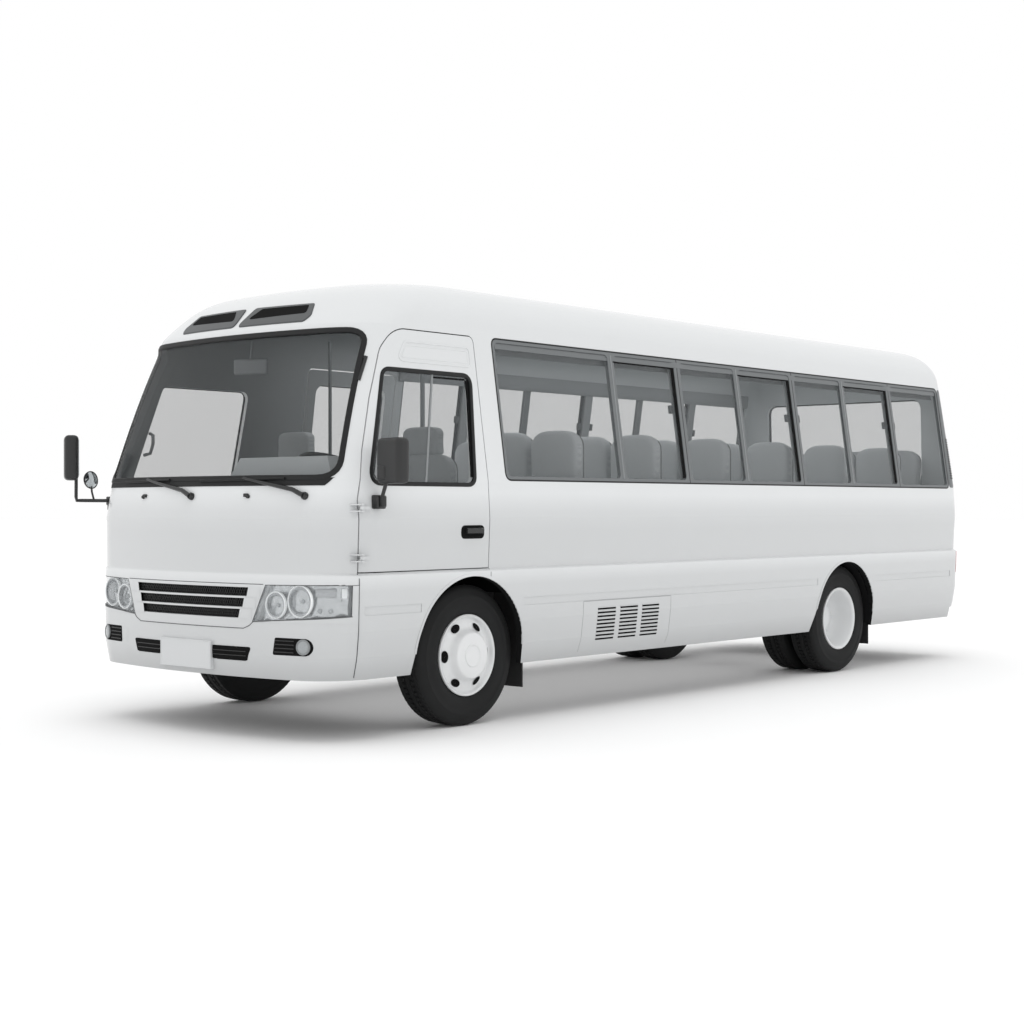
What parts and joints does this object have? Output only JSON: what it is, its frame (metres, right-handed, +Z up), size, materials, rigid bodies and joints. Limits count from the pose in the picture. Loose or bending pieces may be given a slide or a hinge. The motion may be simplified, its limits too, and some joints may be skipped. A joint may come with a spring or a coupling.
{
  "type": "tour bus",
  "caption": "Small tour bus with a rounded nose, tall glazed sides, a hinged driver's door and passenger door, steered front wheels and twin rear wheels.",
  "frame": {"origin": "on the ground under the middle of the overall box", "axes": "front towards -Y, driver's side towards +X, +Z up"},
  "size_m": [2.53, 6.886, 2.457],
  "materials": {
    "body_paint": "gloss",
    "window_glass": "gloss",
    "window_frame": "satin",
    "lamp_lens": "gloss",
    "red_lens": "gloss",
    "plate_white": "satin",
    "black_plastic": "matte",
    "seat_fabric": "matte",
    "floor_grey": "matte",
    "chassis_black": "satin",
    "engine_iron": "satin",
    "exhaust_steel": "satin",
    "flap_rubber": "matte",
    "tyre_rubber": "matte",
    "wheel_white": "gloss"
  },
  "bodies": {
    "bus_body": {"roof": "body_paint", "front_shell": "body_paint", "front_bumper": "body_paint", "front_lamps": "lamp_lens", "grille": "body_paint", "windscreen": "window_glass", "left_side": "body_paint", "right_side": "body_paint", "window_frames": "window_frame", "side_glass": "window_glass", "rear_panel": "body_paint", "rear_glass": "window_glass", "tail_lamps": "red_lens", "rear_bumper": "body_paint", "roof_vents": "black_plastic", "right_mirror": "black_plastic", "floor_pan": "floor_grey", "dashboard": "black_plastic", "steering_wheel": "black_plastic", "driver_seat": "seat_fabric", "passenger_seats": "seat_fabric", "chassis_frame": "chassis_black", "engine_block": "engine_iron", "driveline": "engine_iron", "leaf_springs": "chassis_black", "front_axle": "chassis_black", "rear_axle": "chassis_black", "fuel_tank": "chassis_black", "exhaust": "exhaust_steel", "mud_flaps": "flap_rubber", "number_plates": "plate_white", "wipers": "black_plastic"},
    "driver_door": {"driver_door": "body_paint", "driver_door_glass": "window_glass", "left_mirror": "black_plastic"},
    "passenger_door": {"passenger_door": "body_paint", "passenger_door_glass": "window_glass"},
    "left_knuckle": {"left_knuckle": "chassis_black"},
    "right_knuckle": {"right_knuckle": "chassis_black"},
    "front_left_wheel": {"front_left_tyre": "tyre_rubber", "front_left_wheel": "wheel_white"},
    "front_right_wheel": {"front_right_tyre": "tyre_rubber", "front_right_wheel": "wheel_white"},
    "rear_left_wheels": {"rear_left_tyres": "tyre_rubber", "rear_left_wheels": "wheel_white"},
    "rear_right_wheels": {"rear_right_tyres": "tyre_rubber", "rear_right_wheels": "wheel_white"}
  },
  "joints": [
    {"name": "driver_door_hinge", "type": "hinge", "parent": "bus_body", "child": "driver_door", "pos_m": [1.038, -3.152, 1.2], "axis": [0, 0, -1], "range_deg": [0, 65]},
    {"name": "passenger_door_hinge", "type": "hinge", "parent": "bus_body", "child": "passenger_door", "pos_m": [-1.06, -1.788, 1.2], "axis": [0, 0, 1], "range_deg": [0, 70]},
    {"name": "left_steer", "type": "hinge", "parent": "bus_body", "child": "left_knuckle", "pos_m": [0.745, -2.285, 0.384], "axis": [0, 0, 1], "range_deg": [-35, 35]},
    {"name": "right_steer", "type": "hinge", "parent": "bus_body", "child": "right_knuckle", "pos_m": [-0.745, -2.285, 0.384], "axis": [0, 0, 1], "range_deg": [-35, 35]},
    {"name": "front_left_spin", "type": "hinge", "parent": "left_knuckle", "child": "front_left_wheel", "pos_m": [0.852, -2.285, 0.384], "axis": [1, 0, 0], "continuous": true},
    {"name": "front_right_spin", "type": "hinge", "parent": "right_knuckle", "child": "front_right_wheel", "pos_m": [-0.852, -2.285, 0.384], "axis": [1, 0, 0], "continuous": true},
    {"name": "rear_left_spin", "type": "hinge", "parent": "bus_body", "child": "rear_left_wheels", "pos_m": [0.741, 1.65, 0.384], "axis": [1, 0, 0], "continuous": true},
    {"name": "rear_right_spin", "type": "hinge", "parent": "bus_body", "child": "rear_right_wheels", "pos_m": [-0.741, 1.65, 0.384], "axis": [1, 0, 0], "continuous": true}
  ],
  "couplings": [
    {"joint": "right_steer", "follows": "left_steer", "ratio": 1}
  ]
}
